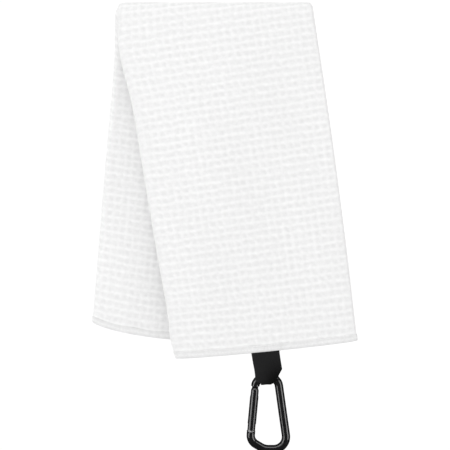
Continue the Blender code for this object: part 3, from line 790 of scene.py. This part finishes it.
def make_loop():
    """The whole loop as one closed strip, laid along its line and narrowed between its edges."""
    bm, places = flat_shell(TAPE_COLUMNS, TAPE_ROWS)
    reach = (places[:, 1] + 0.5) * TAPE_REACH[-1]
    y = np.interp(reach, TAPE_REACH, TAPE_LINE[:, 0])
    z = np.interp(reach, TAPE_REACH, TAPE_LINE[:, 1])
    along_y, along_z = [np.interp(reach + TANGENT_STEP, TAPE_REACH, line)
                        - np.interp(reach - TANGENT_STEP, TAPE_REACH, line) for line in TAPE_LINE.T]
    size = np.hypot(along_y, along_z)
    facing_y, facing_z = along_z / size, -along_y / size
    left_front, right_front = tape_edges(z, True)
    left_back, right_back = tape_edges(z, False)
    to_back = smooth(y, -0.002, 0.004)
    left = left_front + (left_back - left_front) * to_back
    right = right_front + (right_back - right_front) * to_back
    side = places[:, 0] + 0.5
    below = HINGE.z - z
    bunched = smooth(below, 0.013, 0.026)
    crease = TAPE_CREASE * bunched * np.sin(math.tau * 1.5 * side + 0.6) * np.sin(math.pi * side)
    curl = TAPE_CURL * smooth(below, 0.006, 0.018) * smooth(side, 0.80, 1.0) * (1 - to_back)
    face = np.where(places[:, 2] > 0, 1, -1) * TAPE / 2
    out = face * (1 - EDGE_THINNING * np.abs(2 * side - 1) ** 12) + crease - curl
    x = left + (right - left) * side
    tilt = math.tan(HEM_TILT) * (1 - BEND_LEVELLING * smooth(below, 0.0, 0.017))
    hung = np.stack([x, HINGE.y + y + out * facing_y, z + out * facing_z + (x - HINGE.x) * tilt], axis=1)
    # Painted shade: the tape is painted darker down the loop and towards its right edge, where it curls
    # away from the light.
    shade = smooth(below, 0.001, 0.022) * smooth(side, 0.10, 0.90)
    mark_weave(bm, np.stack([(side - 0.5) * 2 * LOOP_HALF, reach], axis=1), 1 - BEND_SHADE * shade)
    for vert, place in zip(bm.verts, hung):
        vert.co = place
    bmesh.ops.recalc_face_normals(bm, faces=bm.faces)
    return bm


def cut_loop(name, whole, keep_above):
    """The part of the loop on one side of the level where it starts to turn with the carabiner."""
    bm = whole.copy()
    parts = bm.verts[:] + bm.edges[:] + bm.faces[:]
    level = BEND + Vector((0, 0, TURN_LEVEL))
    bmesh.ops.bisect_plane(bm, geom=parts, dist=CUT_MARGIN, plane_co=level, plane_no=(0, 0, 1),
                           clear_inner=keep_above, clear_outer=not keep_above)
    bmesh.ops.edgeloop_fill(bm, edges=[edge for edge in bm.edges if edge.is_boundary])
    bmesh.ops.recalc_face_normals(bm, faces=bm.faces)
    part = smooth_object(name, bm, BLACK_TAPE, TAPE_SHARP_FROM)
    return part


BLACK_TAPE = tape_material()
whole_loop = make_loop()
webbing_loop = cut_loop("webbing_loop", whole_loop, True)
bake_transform(webbing_loop)
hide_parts("hang_loop", "loop_sewn_ends")
webbing_bend = cut_loop("webbing_loop_bend", whole_loop, False)
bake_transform(webbing_bend)
whole_loop.free()


# The box stitch: a narrow rectangle of white stitches above the hem's seam, through both faces of the hem
# and the loop's two ends between them.

BOX_HALF = 0.0100
BOX_LOW = 0.0039
BOX_HIGH = 0.0053
BOX_PITCH = 0.0025


def make_box_stitch():
    middle = PANEL_START + PANEL_HALF - FOLD_INSET - LEFT_TURN + LOOP_PLACE
    foot = leaf_length(FRONT)
    count = int(2 * BOX_HALF / BOX_PITCH)
    across = middle - BOX_HALF + BOX_PITCH * (np.arange(count) + 0.5)
    stitches = []
    for level in (BOX_LOW, BOX_HIGH):
        out = hem_face(FRONT, across, level) + THREAD_LIFT
        stitches += [(place, foot - level, height, 0.0) for place, height in zip(across, out)]
    for side in (-1, 1):
        place = middle + side * (BOX_HALF + 0.0004)
        level = (BOX_LOW + BOX_HIGH) / 2
        out = float(hem_face(FRONT, np.array([place]), level)[0]) + THREAD_LIFT
        stitches.append((place, foot - level, out, math.pi / 2))
    box = hang_stitches(FRONT, "loop_box_stitch", stitches)
    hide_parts("loop_stitching")


make_box_stitch()


# The carabiner: a bent rod of aluminium, anodised glossy black, with a sprung gate on a hinge pin. The
# rod and the spring are smooth copies of their CAD parts; the gate, pins and plunger are the CAD parts.
# The anodising is rubbed a little lighter and duller in fine scratches where it is handled.

ROD_RADIUS = 0.0036
GATE_PIN = Vector((0.033964, -0.012, -0.325451))
GATE_WAY = Vector((-0.092368, 0.0, -0.995725))
GATE_REACH = 0.0335
RIM_WIRE = 0.00024
RIM_GAP = 0.00062
MERGE_DISTANCE = 1e-6
METAL_SHARP_FROM = math.radians(20)


def wear_group():
    """A mask of fine scratches and rubbed patches, from the metal's own place."""
    tree = bpy.data.node_groups.new("handling_wear", "ShaderNodeTree")
    tree.interface.new_socket("Scale", in_out="INPUT", socket_type="NodeSocketFloat")
    tree.interface.new_socket("Wear", in_out="OUTPUT", socket_type="NodeSocketFloat")
    source = tree.nodes.new("NodeGroupInput")
    result = tree.nodes.new("NodeGroupOutput")
    place = tree.nodes.new("ShaderNodeTexCoord")
    patches = tree.nodes.new("ShaderNodeTexNoise")
    patches.inputs["Detail"].default_value = 6.0
    patches.inputs["Roughness"].default_value = 0.62
    tree.links.new(place.outputs["Object"], patches.inputs["Vector"])
    tree.links.new(source.outputs["Scale"], patches.inputs["Scale"])
    ramp = tree.nodes.new("ShaderNodeMapRange")
    ramp.inputs["From Min"].default_value = 0.45
    ramp.inputs["From Max"].default_value = 0.75
    tree.links.new(patches.outputs[0], ramp.inputs["Value"])
    tree.links.new(ramp.outputs[0], result.inputs["Wear"])
    return tree


HANDLING_WEAR = wear_group()


def metal_material(name, fresh, rubbed, metallic, roughness, worn_roughness):
    made, tree, shader = new_material(name, roughness=roughness)
    shader.inputs["Metallic"].default_value = metallic
    wear = tree.nodes.new("ShaderNodeGroup")
    wear.node_tree = HANDLING_WEAR
    wear.inputs["Scale"].default_value = 420.0
    tone = tree.nodes.new("ShaderNodeValToRGB")
    tone.color_ramp.elements[0].color = (*fresh, 1)
    tone.color_ramp.elements[1].color = (*rubbed, 1)
    tree.links.new(wear.outputs["Wear"], tone.inputs[0])
    tree.links.new(tone.outputs[0], shader.inputs["Base Color"])
    dull = tree.nodes.new("ShaderNodeMapRange")
    dull.inputs["To Min"].default_value = roughness
    dull.inputs["To Max"].default_value = worn_roughness
    tree.links.new(wear.outputs["Wear"], dull.inputs["Value"])
    tree.links.new(dull.outputs[0], shader.inputs["Roughness"])
    bump = tree.nodes.new("ShaderNodeBump")
    bump.inputs["Strength"].default_value = 0.05
    bump.inputs["Distance"].default_value = 0.00005
    tree.links.new(wear.outputs["Wear"], bump.inputs["Height"])
    tree.links.new(bump.outputs[0], shader.inputs["Normal"])
    return made


def dress(node, material):
    mesh = nodes[node].data
    mesh.materials.clear()
    mesh.materials.append(material)


ANODISED = metal_material("black_anodised", fresh=(0.006, 0.006, 0.0065), rubbed=(0.012, 0.012, 0.012),
                          metallic=0.0, roughness=0.13, worn_roughness=0.22)
STEEL = metal_material("dark_steel_pin", fresh=(0.05, 0.05, 0.052), rubbed=(0.09, 0.09, 0.09),
                       metallic=1.0, roughness=0.28, worn_roughness=0.4)
SPRING_STEEL = metal_material("bright_spring_steel", fresh=(0.55, 0.55, 0.56), rubbed=(0.45, 0.45, 0.45),
                              metallic=1.0, roughness=0.25, worn_roughness=0.4)
BARE_HIGHLIGHT_METAL = metal_material("bare_aluminium_highlight", fresh=(0.72, 0.72, 0.73), rubbed=(0.6, 0.6, 0.6),
                      metallic=1.0, roughness=0.3, worn_roughness=0.42)


def smooth_metal(node, name, material, body):
    """A part of the carabiner with its facets merged, so that its round surfaces shade smoothly."""
    bm = bmesh.new()
    bm.from_mesh(nodes[node].data)
    bmesh.ops.remove_doubles(bm, verts=bm.verts, dist=MERGE_DISTANCE)
    part = smooth_object(name, bm, material, METAL_SHARP_FROM)
    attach(part, body)
    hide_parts(node)
    return part


smooth_metal("carabiner_body", "carabiner_rod", ANODISED, "carabiner")
dress("carabiner_gate", ANODISED)
for node in ("gate_hinge_pin", "gate_latch_pin"):
    dress(node, STEEL)
dress("gate_plunger", SPRING_STEEL)


def make_latch_rim():
    """A thin ring of bright bare metal round the rod where the gate closes on it, partly a painted
    highlight for the line of light on the chamfer there.
    """
    bm = bmesh.new()
    bmesh.ops.create_circle(bm, segments=8, radius=RIM_WIRE)
    bmesh.ops.rotate(bm, cent=(0, 0, 0), matrix=Matrix.Rotation(math.pi / 2, 3, "X"), verts=bm.verts)
    bmesh.ops.translate(bm, vec=(ROD_RADIUS - RIM_WIRE / 2, 0, 0), verts=bm.verts)
    bmesh.ops.spin(bm, geom=bm.edges[:], axis=(0, 0, 1), cent=(0, 0, 0), steps=48, angle=math.tau,
                   use_merge=True)
    bmesh.ops.recalc_face_normals(bm, faces=bm.faces)
    place = GATE_PIN + GATE_WAY * (GATE_REACH + RIM_GAP)
    turn = Vector((0, 0, -1)).rotation_difference(GATE_WAY).to_matrix().to_4x4()
    bmesh.ops.transform(bm, matrix=Matrix.Translation(place) @ turn, verts=bm.verts)
    rim = smooth_object("latch_highlight_rim", bm, BARE_HIGHLIGHT_METAL)
    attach(rim, "carabiner")


make_latch_rim()


def make_gate_spring():
    """The coil inside the gate, as a smooth copy with a mesh of its own."""
    coil = smooth_metal("gate_spring", "gate_spring_coil", SPRING_STEEL, "gate")
    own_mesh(coil)


make_gate_spring()
